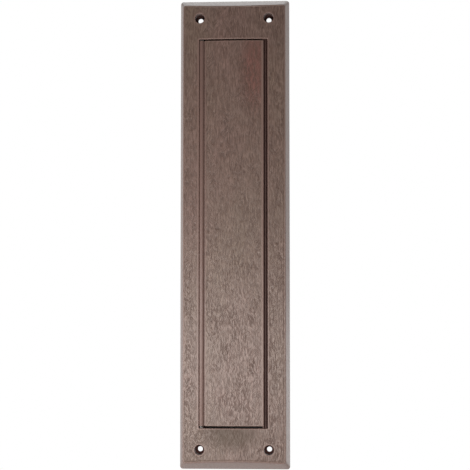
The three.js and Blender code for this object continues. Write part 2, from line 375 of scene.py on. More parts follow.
def bar(x, depth, profile, sides=48, closed=False):
    """A turned shape that lies along z: its profile is a list of radius and z."""
    angles = np.arange(sides) * TURN / sides
    rings = []
    for radius, z in profile:
        around = [x + radius * np.cos(angles), depth + radius * np.sin(angles), np.full(sides, z)]
        rings.append(np.column_stack(around))
    return loft("bar", rings, closed)


def rail(section, bottom, top):
    """A section drawn as points of x and depth, run along z."""
    rings = [[(x, depth, z) for x, depth in section] for z in (bottom, top)]
    return loft("rail", rings)


def round_end(radius, bottom, top, edge, steps=4):
    """The profile of a bar whose two ends are rounded."""
    turns = [TURN / 4 * k / steps for k in range(steps + 1)]
    first = [(radius - edge + edge * math.sin(a), bottom + edge * (1 - math.cos(a))) for a in turns]
    return first + [(r, bottom + top - z) for r, z in reversed(first)]


def bent(start, corner, end, steps):
    """Rings along the rounding between two faces that meet at a sharp corner."""
    shares = [k / steps for k in range(1, steps)]
    return [start * (1 - t) ** 2 + 2 * corner * t * (1 - t) + end * t * t for t in shares]


# ---- crowned panels with a fine face ----


def fine_face(lefts_to_right, bottom, top, steps, arc=6):
    """A grid of columns between two ends, and the loop round it that the edges grow from.

    The loop holds, for each of its points, the grid point, the way out, and whether it is on a
    corner. A corner's grid point comes once for every step of its arc.
    """
    xs = np.asarray(lefts_to_right)
    columns = len(xs)
    share = np.linspace(0, 1, steps + 1)
    x = np.repeat(xs, steps + 1)
    low = np.repeat(np.broadcast_to(bottom, columns), steps + 1)
    high = np.repeat(np.broadcast_to(top, columns), steps + 1)
    z = low + (high - low) * np.tile(share, columns)
    rows = steps + 1
    faces = []
    for i in range(columns - 1):
        for j in range(steps):
            first = i * rows + j
            faces.append((first, first + rows, first + rows + 1, first + 1))
    sides = [
        [i * rows for i in range(columns)],
        [(columns - 1) * rows + j for j in range(rows)],
        [i * rows + steps for i in reversed(range(columns))],
        list(reversed(range(rows))),
    ]
    loop = []
    for side, indices in enumerate(sides):
        angle = TURN / 4 * (side - 1)
        last = len(indices) - 1
        loop += [(index, angle, n in (0, last)) for n, index in enumerate(indices)]
        loop += [(indices[-1], angle + TURN / 4 * k / arc, True) for k in range(1, arc)]
    indices, angles, corner = zip(*loop)
    ways = np.column_stack([np.cos(angles), np.sin(angles)])
    return SimpleNamespace(
        x=x, z=z, faces=faces, indices=list(indices), ways=ways.round(12), corner=np.array(corner),
    )


def edged(name, face, depth, rings):
    """Closes a fine face with rings round it and a flat back."""
    grid = np.column_stack([face.x, depth, face.z])
    count = len(face.indices)
    faces = list(face.faces)
    first = len(grid)
    for k in range(count):
        after = (k + 1) % count
        here = face.indices[k]
        there = face.indices[after]
        edge = (here, there) if here != there else (here,)
        faces.append((*edge, first + after, first + k))
    for i in range(len(rings) - 1):
        start = first + i * count
        for k in range(count):
            after = (k + 1) % count
            faces.append((start + k, start + after, start + count + after, start + count + k))
    last = first + (len(rings) - 1) * count
    faces.append(tuple(range(last, last + count)))
    return solid(name, np.concatenate([grid, *rings]), faces)


# ---- the moulded plate ----

GRID = 0.46  # width of the fine face's columns
GRID_LONG = 0.62  # length of its rows
# the groove along the face's border: how far out from the grid, and how deep
BORDER = [(0.7, 0), (0.85, 0.08), (1.0, 0.12), (1.15, 0.08), (1.3, 0)]
FACE_ROUNDING = 0.5
RIM_ROUNDING = 0.3
OPENING_ROUNDING = 0.42
HOLE_ROUNDING = 0.3


def drafted(inset, low, high):
    """The drafted block that the plate is moulded from, with its walls moved in by an inset."""
    radius = max(CORNER_RADIUS - inset, 0.5)
    x = WIDTH / 2 - inset
    z = LENGTH / 2 - inset
    outline = rectangle(-x, x, -z, z, radius)
    rings = []
    for depth in (low, high):
        lean = np.sign(outline.points) * (SIDE_RUN, END_RUN) * depth / DEPTH
        flat = outline.points - lean
        rings.append(np.column_stack([flat[:, 0], np.full(len(flat), depth), flat[:, 1]]))
    return loft("drafted", rings)


def behind_face(inset, left, right, end, steps=48):
    """Everything behind the crowned face, less an inset."""
    xs = np.linspace(left, right, steps + 1)
    section = [*zip(xs, face_depth(xs) - inset), (right, -2 * PAST), (left, -2 * PAST)]
    return rail(section, -end, end)


def plate_outside():
    """The plate before it is hollowed: fine face, border groove, drafted walls and rim."""
    half = FACE_HALF - CORNER_RADIUS
    xs = np.linspace(-half, half, round(2 * half / GRID) + 1)
    reach = face_end(xs) - CORNER_RADIUS
    face = fine_face(xs, -reach, reach, round(2 * reach.max() / GRID_LONG))
    relief = GRAIN_DEPTH * grain(face.x, face.z, PLATE_SEED) * plate_grain_mask(face.x, face.z)
    base = np.column_stack([face.x, face.z])[face.indices]
    axis = np.abs(face.ways)
    leaning = np.where(face.corner[:, None], 1, axis) * np.sign(base) * (SIDE_RUN, END_RUN) / DEPTH

    def on_face(out, drop):
        flat = base + out * face.ways
        return np.column_stack([flat[:, 0], face_depth(flat[:, 0]) - drop, flat[:, 1]])

    edge = on_face(CORNER_RADIUS, 0)

    def on_wall(depth, inset=0):
        flat = base + (CORNER_RADIUS - inset) * face.ways + leaning * (edge[:, 1] - depth)[:, None]
        return np.column_stack([flat[:, 0], np.broadcast_to(depth, len(flat)), flat[:, 1]])

    start = on_face(CORNER_RADIUS - FACE_ROUNDING, 0)
    wall_top = on_wall(edge[:, 1] - FACE_ROUNDING)
    wall_foot = on_wall(RIM_ROUNDING)
    foot = on_wall(0, RIM_ROUNDING)
    rings = [on_face(out, drop) for out, drop in BORDER]
    rings += [start, *bent(start, edge, wall_top, 6), wall_top]
    wall_height = edge[:, 1] - FACE_ROUNDING - RIM_ROUNDING
    rings += [on_wall(RIM_ROUNDING + wall_height * t) for t in (0.6, 0.3)]
    rings += [wall_foot, *bent(wall_foot, on_wall(0), foot, 4), foot]
    return edged("outside", face, face_depth(face.x) - relief, rings)


def mouth(outline, radius, below):
    """A cutter that rounds the edge where it comes out through the crowned face."""
    last = math.radians(70)
    rings = list(below)
    for k in range(6):
        angle = last * k / 5
        grow = radius * (1 - math.cos(angle))
        drop = radius * (1 - math.sin(angle))
        rings.append(level(outline, grow, lambda x, drop=drop: face_depth(x) - drop))
    run = 2 * radius
    rise = run * math.cos(last) / math.sin(last) - drop
    rings.append(level(outline, grow + run, lambda x: face_depth(x) + rise))
    rings.append(level(outline, grow + run, DEPTH + 3 * PAST))
    return loft("mouth", rings)


def opening_cutter():
    """The opening, which narrows by a lip beside the flap's bead and has a rounded edge."""
    left, right, top, radius = OPENING.left, OPENING.right, OPENING.top, OPENING.radius
    whole = rectangle(left, right, -top, top, radius)
    narrow = rectangle(left + HINGE_LIP.out, right, -top, top, radius, arc=5, step=1.5)
    upper = mouth(narrow, OPENING_ROUNDING, [level(narrow, 0, HINGE_LIP.low - 0.01)])
    return combine(upper, "UNION", slab(whole, -PAST, HINGE_LIP.low))


def hole_cutter(x, z):
    outline = circle(x, z, HOLE.mouth)
    below = [
        level(outline, HOLE.bore - HOLE.mouth, -PAST),
        level(outline, HOLE.bore - HOLE.mouth, HOLE.cone_bottom),
        level(outline, HOLE.seat - HOLE.mouth, HOLE.cone_top),
    ]
    return mouth(outline, HOLE_ROUNDING, below)


def screw_centres():
    return [(edge + side * SCREW.out, z) for edge, side in EDGES.values() for z in SCREW_ROWS.values()]


def lining():
    """The walls round the opening, cut back behind the brushes."""
    grown = rectangle(
        OPENING.left - RETURN_WALL, OPENING.right + RETURN_WALL,
        -OPENING.top - RETURN_WALL, OPENING.top + RETURN_WALL, 1,
    )
    room = block(
        OPENING.left - RETURN_WALL - PAST, OPENING.right + RETURN_WALL + PAST,
        -PAST, SCREW_BOSS.low, -OPENING.top, OPENING.top,
    )
    return combine(slab(grown, RETURN_END, DEPTH + PAST), "DIFFERENCE", room)


def bearing_block(end):
    bottom, top = sorted((end * BEARING.start, end * BEARING.end))
    left = HINGE_X - BEARING.half_width
    return block(left, HINGE_X + BEARING.half_width, BEARING.low, DEPTH + PAST, bottom, top)


def cavity():
    """The hollow of the plate's back, round everything that stands in it."""
    reach = WIDTH / 2
    hollow = combine(
        drafted(WALL, -PAST, DEPTH + PAST), "INTERSECT",
        behind_face(WALL, -reach, reach, LENGTH),
    )
    fixing = [post(x, z, [(HOLE.boss + 0.15, -2 * PAST), (HOLE.boss, DEPTH)]) for x, z in HOLE_CENTRES]
    pilots = [
        post(x, z, [(SCREW_BOSS.radius, SCREW_BOSS.low), (SCREW_BOSS.radius, DEPTH)])
        for x, z in screw_centres()
    ]
    blocks = [bearing_block(1), bearing_block(-1)]
    return combine(hollow, "DIFFERENCE", lining(), *fixing, *pilots, *blocks)


def rod_slot(end):
    """The slot that the hinge rod drops into from behind."""
    bottom, top = sorted((end * (OPENING.top - 0.1), end * (BEARING.end + 0.1)))
    deep = block(HINGE_X - ROD_SLOT, HINGE_X + ROD_SLOT, -PAST, HINGE_DEPTH, bottom, top)
    seat = bar(HINGE_X, HINGE_DEPTH, [(ROD_SLOT, bottom), (ROD_SLOT, top)])
    return combine(deep, "UNION", seat)


def stop_ledge():
    """The lip that the flap shuts against, and a low rib in the gap beside the flap."""
    wall = OPENING.right + 0.5
    low, floor, rib, lip = LEDGE_DEPTH.low, LEDGE_DEPTH.floor, LEDGE_DEPTH.rib, LEDGE_DEPTH.lip
    edge = 0.15
    section = [
        (wall, low), (wall, floor), (LEDGE.rib_right, floor), (LEDGE.rib_right, rib - edge),
        (LEDGE.rib_right - edge, rib), (LEDGE.rib_left + edge, rib), (LEDGE.rib_left, rib - edge),
        (LEDGE.rib_left, floor), (LEDGE.lip, floor), (LEDGE.lip, lip - edge),
        (LEDGE.lip - edge, lip), (LEDGE.inner + edge, lip), (LEDGE.inner, lip - edge),
        (LEDGE.inner, low + edge), (LEDGE.inner + edge, low),
    ]
    return rail(section, -OPENING.top - 0.5, OPENING.top + 0.5)


DULL_SHADED_PATCH = SimpleNamespace(x=-1, z=-143.5, width=21, length=12)  # a rougher patch below the opening, darkened with painted shade


def build_plate(material):
    plate = plate_outside()
    pilots = [
        post(x, z, [(SCREW_BOSS.bore, SCREW_BOSS.low - PAST), (SCREW_BOSS.bore, SCREW_BOSS.end)])
        for x, z in screw_centres()
    ]
    holes = [hole_cutter(x, z) for x, z in HOLE_CENTRES]
    slots = [rod_slot(1), rod_slot(-1)]
    combine(plate, "DIFFERENCE", cavity(), opening_cutter(), *holes, *pilots, *slots)
    combine(plate, "UNION", stop_ledge())
    x, depth, z = points_of(plate).T
    surface = face_depth(np.clip(x, -FACE_HALF, FACE_HALF))
    textured = plate_grain_mask(x, z, border=0.4, rim=0.4) * (depth > surface - 0.3)
    inside = np.minimum(FACE_HALF - np.abs(x), face_end(x.clip(-FACE_HALF, FACE_HALF)) - np.abs(z))
    # Painted shade: the deeper a point lies below the face, the darker its colour, and the more matt it
    # is.
    recess = smooth_step(0.6, 6, surface - depth) * (inside > 1)
    store_grain(plate, PLATE_SEED, textured, recess)
    store(plate, "dull_and_shaded", patch_on(x, z, DULL_SHADED_PATCH))
    return finished(plate, "moulded_plate", material, "moulded_brown", "frame")


# ---- the flap ----

BEAD_PAINTED_SHADE = 0.24  # how far the bead is matt and darkened with painted shade, as the recesses are
RUDDY = SimpleNamespace(x=15, z=118, width=11, length=34)  # a redder patch on the flap's face


def build_flap(material):
    flap = BEAD_AND_PANEL
    small = 0.45
    left = PANEL.left + small
    right = flap.right - PANEL.free_edge
    xs = np.linspace(left, right, round((right - left) / GRID) + 1)
    bottom = flap.bottom + small
    top = flap.top - small
    face = fine_face(xs, bottom, top, round((top - bottom) / GRID_LONG))
    relief = GRAIN_DEPTH * grain(face.x, face.z, FLAP_SEED) * panel_grain_mask(face.x, face.z)
    base = np.column_stack([face.x, face.z])[face.indices]
    sideways = np.where(face.ways[:, 0] > 0, PANEL.free_edge, small)
    wide = np.column_stack([sideways, np.full(len(sideways), small)])
    drop = (face.ways**2 * wide).sum(1)
    front = face_depth(base[:, 0]) - PANEL.recess

    def edge(angle, depth=None):
        flat = base + face.ways * wide * math.sin(angle)
        height = front - drop * (1 - math.cos(angle)) if depth is None else np.full(len(flat), depth)
        return np.column_stack([flat[:, 0], height, flat[:, 1]])

    steps = 7
    rings = [edge(TURN / 4 * k / steps) for k in range(1, steps + 1)]
    rings.append(edge(TURN / 4, 5))
    panel = edged("panel", face, face_depth(face.x) - PANEL.recess - relief, rings)
    combine(
        panel, "DIFFERENCE",
        behind_face(PANEL.recess + PANEL.thickness, PANEL.left - PAST, flap.right + PAST, LENGTH),
    )

    bead = bar(HINGE_X, HINGE_DEPTH, round_end(BEAD_RADIUS, flap.bottom, flap.top, 0.25), 64)
    neck = block(HINGE_X, PANEL.left + 2 * small, *NECK, flap.bottom + 0.2, flap.top - 0.2)
    combine(panel, "UNION", bead, neck)

    bore = bar(HINGE_X, HINGE_DEPTH, [(BEAD_BORE, flap.bottom - PAST), (BEAD_BORE, flap.top + PAST)])
    pockets = []
    for end in (-1, 1):
        bottom = end * SPRING.middle - SPRING.pocket / 2
        top = end * SPRING.middle + SPRING.pocket / 2
        low = HINGE_DEPTH - BEAD_RADIUS - PAST
        pocket = block(
            HINGE_X - POCKET.half_width, HINGE_X + POCKET.half_width, low, HINGE_DEPTH, bottom, top
        )
        turned = bar(HINGE_X, HINGE_DEPTH, [(POCKET.radius, bottom), (POCKET.radius, top)])
        pockets.append(combine(pocket, "UNION", turned))
    combine(panel, "DIFFERENCE", bore, *pockets)
    x, depth, z = points_of(panel).T
    textured = panel_grain_mask(x, z, rim=0.2) * (depth > face_depth(x) - PANEL.recess - 0.3)
    # Painted shade: the deeper a point lies below the flap's face, the darker its colour, and the more
    # matt it is.
    recess = smooth_step(1, 2.5, face_depth(x) - depth)
    # The hinge bead gets painted shade and a matt finish, like the recesses.
    recess = np.maximum(recess, BEAD_PAINTED_SHADE * (x < PANEL.left))
    store_grain(panel, FLAP_SEED, textured, recess)
    store(panel, "ruddy", patch_on(x, z, RUDDY))
    return finished(panel, "inner_flap", material, "moulded_brown", "flap", body="flap")


# ---- the hinge ----


def build_hinge(steel, nylon):
    rod = bar(HINGE_X, HINGE_DEPTH, round_end(ROD.right - HINGE_X, ROD.bottom, ROD.top, 0.25), 32)
    finished(rod, "hinge_rod_drawn", steel, "steel", "hinge_rod")
    for row in ("top", "bottom"):
        build_washer(row, nylon)
        build_cap(row, nylon)
        build_spring(row, steel)


def build_washer(row, nylon):
    room = WASHERS[row]
    edge = 0.12
    outer = round_end(room.right - HINGE_X, room.bottom, room.top, edge)
    inner = [(BEAD_BORE, room.top), (BEAD_BORE, room.bottom)]
    washer = bar(HINGE_X, HINGE_DEPTH, outer + inner, closed=True)
    finished(washer, f"washer_{row}", nylon, "nylon", f"hinge_washer_{row}")


def build_cap(row, nylon):
    """The cap that shuts a rod slot from behind, with the tongue that holds the rod in."""
    room = span(f"bearing_cap_{row}")
    plate = slab(rectangle(room.left, room.right, room.bottom, room.top, 0.8), room.low, CAP_HIGH)
    tongue = block(
        HINGE_X - CAP_TONGUE, HINGE_X + CAP_TONGUE, CAP_HIGH - 0.3, room.high,
        room.bottom + 0.2, room.top - 0.2,
    )
    combine(plate, "UNION", tongue)
    middle = (room.bottom + room.top) / 2
    outline = rectangle(HINGE_X - 2.6, HINGE_X + 2.6, middle - 0.7, middle + 0.7, 0.5)
    notch = slab(outline, room.low - PAST, room.low + 0.35)
    combine(plate, "DIFFERENCE", notch)
    rounded_edges(plate, 0.16)
    finished(plate, f"cap_{row}", nylon, "nylon", f"bearing_cap_{row}")


def build_spring(row, steel):
    """A torsion spring coiled round the hinge, on no body. In the hinge one end stays with the plate and
    the other turns with the flap.
    """
    room = span(f"flap_spring_{row}")
    turns = SPRING.turns
    count = turns * 20
    share = np.linspace(0, 1, count + 1)
    angle = share * turns * TURN
    length = room.top - room.bottom - 2 * SPRING.wire
    line = np.column_stack([
        HINGE_X + SPRING.mean * np.cos(angle),
        HINGE_DEPTH + SPRING.mean * np.sin(angle),
        room.bottom + SPRING.wire + length * share,
    ])
    spring = tube("spring", line, SPRING.wire, 8)
    finished(spring, f"torsion_spring_{row}", steel, "steel", f"flap_spring_{row}", body=None)
    middle = (HINGE_X * MM, -HINGE_DEPTH * MM)
    ends = [Vector((*middle, z * MM)) for z in (room.bottom, room.top)]
    if row == "top":
        ends.reverse()
    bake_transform(spring)


def tube(name, line, radius, sides):
    """A round wire along a line of points, with a rounded tip at each end."""
    line = np.asarray(line, float)
    along = np.gradient(line, axis=0)
    along /= np.linalg.norm(along, axis=1)[:, None]
    guide = np.array([0.0, 0.0, 1.0])
    side = np.cross(along, guide)
    side /= np.linalg.norm(side, axis=1)[:, None]
    up = np.cross(side, along)
    angles = np.arange(sides) * TURN / sides
    circle_points = side[:, None] * np.cos(angles)[:, None] + up[:, None] * np.sin(angles)[:, None]
    size = np.full(len(line), radius)
    size[[0, -1]] = 0.55 * radius
    return loft(name, list(line[:, None] + circle_points * size[:, None, None]))


# ---- the brush strips ----


def rounded_section(corners, radius, steps=3):
    """A section whose corners are rounded, each as far as its two sides allow."""
    corners = np.asarray(corners, float)
    points = []
    for k, corner in enumerate(corners):
        before = corners[k - 1] - corner
        after = corners[(k + 1) % len(corners)] - corner
        room = min(radius, 0.45 * np.linalg.norm(before), 0.45 * np.linalg.norm(after))
        start = corner + before / np.linalg.norm(before) * room
        end = corner + after / np.linalg.norm(after) * room
        for step in range(steps + 1):
            t = step / steps
            points.append(start * (1 - t) ** 2 + 2 * corner * t * (1 - t) + end * t * t)
    return points


def build_carrier(name, material):
    """The aluminium strip: a lipped channel for the bristles, and a flange that is screwed down."""
    edge, side = EDGES[name]
    node = f"brush_carrier_{name}"
    room = span(node)
    flange = room.right - room.left
    corners = [
        (0, room.low), (CARRIER.channel, room.low), (CARRIER.channel, CARRIER.flange_low),
        (flange, CARRIER.flange_low), (flange, room.high), (0, room.high),
        (0, CHANNEL.lip_high), (CHANNEL.lip, CHANNEL.lip_high), (CHANNEL.lip, CHANNEL.high),
        (CHANNEL.back, CHANNEL.high), (CHANNEL.back, CHANNEL.low), (CHANNEL.lip, CHANNEL.low),
        (CHANNEL.lip, CHANNEL.lip_low), (0, CHANNEL.lip_low),
    ]
    section = [(edge + side * out, depth) for out, depth in rounded_section(corners, 0.18)]
    strip = rail(section, room.bottom, room.top)
    x = edge + side * SCREW.out
    bores = []
    for z in SCREW_ROWS.values():
        countersink = [
            (SCREW_BOSS.bore + 0.35, CARRIER.flange_low - PAST),
            (SCREW_BOSS.bore + 0.35, CARRIER.flange_low), (SCREW_BOSS.bore, CARRIER.flange_low + 0.3),
            (SCREW_BOSS.bore, room.high + PAST),
        ]
        bores.append(post(x, z, countersink))
    combine(strip, "DIFFERENCE", *bores)
    finished(strip, f"carrier_strip_{name}", material, "aluminium", node, sharp=30)


def build_core(name, material):
    edge, side = EDGES[name]
    room = span(f"core_wire_{name}")
    profile = round_end(CORE.radius, room.bottom, room.top, 0.2)
    wire = bar(edge + side * CORE.out, CORE.depth, profile, 24)
    finished(wire, f"core_{name}", material, "steel", f"core_wire_{name}")


BRISTLE_RADIUS = 0.11
BRISTLE_COUNT = 2500  # folded strands on each strip, evenly spaced
END_TUFT = SimpleNamespace(count=260, length=1.6)  # more strands, close to each end


def strand_paths(name, random):
    """Lines of the folded strands: out along one side of the core wire, round it, and back."""
    edge, side = EDGES[name]
    root_limit = BRUSH.end - 0.05
    tip_limit = OPENING.top - 0.12
    tuft = np.linspace(root_limit - END_TUFT.length, root_limit, END_TUFT.count)
    rows = np.concatenate([np.linspace(-root_limit, root_limit, BRISTLE_COUNT), tuft, -tuft])
    count = len(rows)
    fold = CORE.radius + 1.4 * BRISTLE_RADIUS
    turn_angles = np.radians([-70, 0, 70])
    legs = {}
    for leg in (-1, 1):
        reach = BRUSH.reach + 1.3 - random.gamma(1.6, 0.4, count).clip(0, 3)
        tip = leg * random.uniform(0.05, 1, count) * (BRUSH.tip_half - 0.1)
        slope = random.normal(0, 0.45, count)
        bow = random.normal(0, 0.35, count)
        points = []
        for share in (1, 0.76, 0.5, 0.2):
            out = CORE.out - share * (CORE.out + reach)
            depth = CORE.depth + leg * fold * (1 - share) ** 1.5 + tip * share
            spread = rows * (1 + 0.003 * share)
            along = spread + slope * share + bow * share * (1 - share) * 2
            points.append([edge + side * out, depth, along.clip(-tip_limit, tip_limit)])
        legs[leg] = points
    turn = []
    for angle in turn_angles:
        out = CORE.out + fold * math.cos(angle)
        depth = CORE.depth + fold * math.sin(angle)
        turn.append([np.full(count, edge + side * out), np.full(count, depth), rows])
    path = legs[-1] + turn + legs[1][::-1]
    return np.array([np.column_stack(points) for points in path]).transpose(1, 0, 2)


def build_bristles(name, material, seed):
    """Every strand as a thin three-sided prism, with a shade of its own."""
    random = np.random.default_rng(seed)
    lines = strand_paths(name, random)
    count, steps, _ = lines.shape
    along = np.gradient(lines, axis=1)
    along /= np.linalg.norm(along, axis=2)[..., None]
    side = np.cross(along, (0.0, 0.0, 1.0))
    side /= np.linalg.norm(side, axis=2)[..., None]
    up = np.cross(side, along)
    twist = random.uniform(0, TURN, count)
    sides = 3
    width = np.full(steps, BRISTLE_RADIUS)
    width[[0, -1]] *= 0.5
    corners = []
    for k in range(sides):
        angle = (twist + TURN * k / sides)[:, None, None]
        corners.append(lines + width[:, None] * (side * np.cos(angle) + up * np.sin(angle)))
    points = np.stack(corners, axis=2).reshape(-1, 3)
    faces = []
    for strand in range(count):
        first = strand * steps * sides
        for step in range(steps - 1):
            here = first + step * sides
            for k in range(sides):
                after = (k + 1) % sides
                faces.append((here + k, here + after, here + sides + after, here + sides + k))
        faces.append(tuple(range(first, first + sides)))
        faces.append(tuple(range(first + (steps - 1) * sides, first + steps * sides)))
    pack = solid("bristles", points, faces)
    store(pack, "shade", np.repeat(random.uniform(0, 1, count), steps * sides))
    finished(pack, f"brush_{name}", material, "bristle", f"bristles_{name}", sharp=60)


THREAD_PITCH = 0.8


def screw_shape():
    """A pan-head screw for plastic at x = z = 0, with a cross recess and a cut thread."""
    sides = 36
    head = [
        (0.25, SCREW.head_low), (0.95, SCREW.head_low + 0.03), (1.4, SCREW.head_low + 0.16),
        (1.75, SCREW.head_low + 0.42), (1.95, SCREW.head_low + 0.78),
        (SCREW.head, SCREW.head_low + 1.05), (SCREW.head, SCREW.head_high - 0.08),
        (SCREW.head - 0.08, SCREW.head_high),
    ]
    rings = [level(circle(0, 0, radius, sides), 0, depth) for radius, depth in head]
    core = SCREW.shank - 0.2
    angles = np.arange(sides) / sides
    for depth in np.arange(SCREW.head_high + 0.02, SCREW.tip, THREAD_PITCH / 8):
        taper = min(1, 0.25 + (SCREW.tip - depth) / 1.4)
        phase = (angles + depth / THREAD_PITCH) % 1
        ridge = np.clip(1 - np.abs(phase - 0.5) * 4, 0, 1)
        radius = (core + 0.2 * ridge) * taper
        turned = [radius * np.cos(angles * TURN), np.full(sides, depth), radius * np.sin(angles * TURN)]
        rings.append(np.column_stack(turned))
    screw = loft("screw", rings)
    for long, wide in ((1.05, 0.24), (0.24, 1.05)):
        mouth_end = SCREW.head_low - 0.2
        floor = SCREW.head_low + 0.85
        slot = loft("slot", [
            level(rectangle(-long, long, -wide, wide, 0.08, arc=2), 0, mouth_end),
            level(rectangle(-long * 0.5, long * 0.5, -wide * 0.5, wide * 0.5, 0.06, arc=2), 0, floor),
        ])
        combine(screw, "DIFFERENCE", slot)
    return screw


def build_screws(material):
    pattern = screw_shape()
    for name, (edge, side) in EDGES.items():
        for n, (row, z) in enumerate(SCREW_ROWS.items()):
            screw = bpy.data.objects.new("screw", pattern.data.copy())
            bpy.context.scene.collection.objects.link(screw)
            turned = Matrix.Rotation(0.5 + 0.9 * n + side, 4, "Y")
            placed = Matrix.Translation(((edge + side * SCREW.out) * MM, 0, z * MM))
            screw.data.transform(placed @ turned)
            finished(screw, f"screw_{name}_{row}", material, "steel", f"carrier_screw_{name}_{row}")
    bpy.data.objects.remove(pattern)


# ---- materials ----


class Paint:
    """A procedural material, with short ways to add its nodes."""

    def __init__(self, name, colour, roughness, metallic=0.0):
        self.material = bpy.data.materials.new(name)
        self.material.use_nodes = True
        self.material.diffuse_color = (*colour, 1)
        self.nodes = self.material.node_tree.nodes
        self.links = self.material.node_tree.links
        self.shader = self.nodes["Principled BSDF"]
        self.shader.inputs["Base Color"].default_value = (*colour, 1)
        self.shader.inputs["Roughness"].default_value = roughness
        self.shader.inputs["Metallic"].default_value = metallic
        self.place = self.nodes.new("ShaderNodeTexCoord").outputs["Object"]

    def noise(self, scale, detail=3.0, rough=0.5, stretch=(1, 1, 1)):
        """Noise with so many features to the metre, stretched along the axes."""
        mapping = self.nodes.new("ShaderNodeMapping")
        mapping.inputs["Scale"].default_value = stretch
        self.links.new(self.place, mapping.inputs["Vector"])
        return self.noise_at(mapping.outputs["Vector"], scale, detail, rough)

    def noise_at(self, place, scale, detail, rough):
        noise = self.nodes.new("ShaderNodeTexNoise")
        noise.inputs["Scale"].default_value = scale
        noise.inputs["Detail"].default_value = detail
        noise.inputs["Roughness"].default_value = rough
        self.links.new(place, noise.inputs["Vector"])
        return noise.outputs["Fac"]

    def strokes(self, across, along):
        """Noise in cells to the millimetre across and along the wood's growth lines."""
        split = self.nodes.new("ShaderNodeSeparateXYZ")
        self.links.new(self.place, split.inputs["Vector"])
        join = self.nodes.new("ShaderNodeCombineXYZ")
        self.links.new(self.maths("MULTIPLY", self.attribute("across"), across), join.inputs["X"])
        self.links.new(self.maths("MULTIPLY", split.outputs["Z"], along / MM), join.inputs["Y"])
        self.links.new(self.maths("MULTIPLY", self.attribute("column"), 1.7), join.inputs["Z"])
        return self.noise_at(join.outputs["Vector"], 1.0, 2.0, 0.6)

    def attribute(self, name):
        node = self.nodes.new("ShaderNodeAttribute")
        node.attribute_name = name
        return node.outputs["Fac"]

    def ramp(self, value, low, high, start=0.0, end=1.0):
        """A value taken from one range to another."""
        node = self.nodes.new("ShaderNodeMapRange")
        self.links.new(value, node.inputs["Value"])
        node.inputs["From Min"].default_value = low
        node.inputs["From Max"].default_value = high
        node.inputs["To Min"].default_value = start
        node.inputs["To Max"].default_value = end
        return node.outputs["Result"]

    def maths(self, operation, first, second):
        node = self.nodes.new("ShaderNodeMath")
        node.operation = operation
        for socket, value in zip(node.inputs, (first, second)):
            if isinstance(value, (int, float)):
                socket.default_value = value
            else:
                self.links.new(value, socket)
        return node.outputs["Value"]

    def mix(self, share, first, second, blend="MIX"):
        """A mix of two colours, each a colour or another node's output."""
        node = self.nodes.new("ShaderNodeMix")
        node.data_type = "RGBA"
        node.blend_type = blend
        self.links.new(share, node.inputs[0])
        sockets = [socket for socket in node.inputs if socket.type == "RGBA"]
        for socket, value in zip(sockets, (first, second)):
            if isinstance(value, tuple):
                socket.default_value = (*value, 1)
            else:
                self.links.new(value, socket)
        return next(socket for socket in node.outputs if socket.type == "RGBA")

    def over(self, under, share, most, colour):
        """A colour laid over another, at most so strongly, by a share that varies."""
        return self.mix(self.maths("MULTIPLY", share, most), under, colour)

    def bump(self, height, distance, strength=1.0):
        """Adds a bump of so many metres on top of any bump before it."""
        node = self.nodes.new("ShaderNodeBump")
        node.inputs["Strength"].default_value = strength
        node.inputs["Distance"].default_value = distance
        self.links.new(height, node.inputs["Height"])
        normal = self.shader.inputs["Normal"]
        if normal.is_linked:
            self.links.new(normal.links[0].from_socket, node.inputs["Normal"])
        self.links.new(node.outputs["Normal"], normal)

    def use(self, socket, value):
        self.links.new(value, self.shader.inputs[socket])


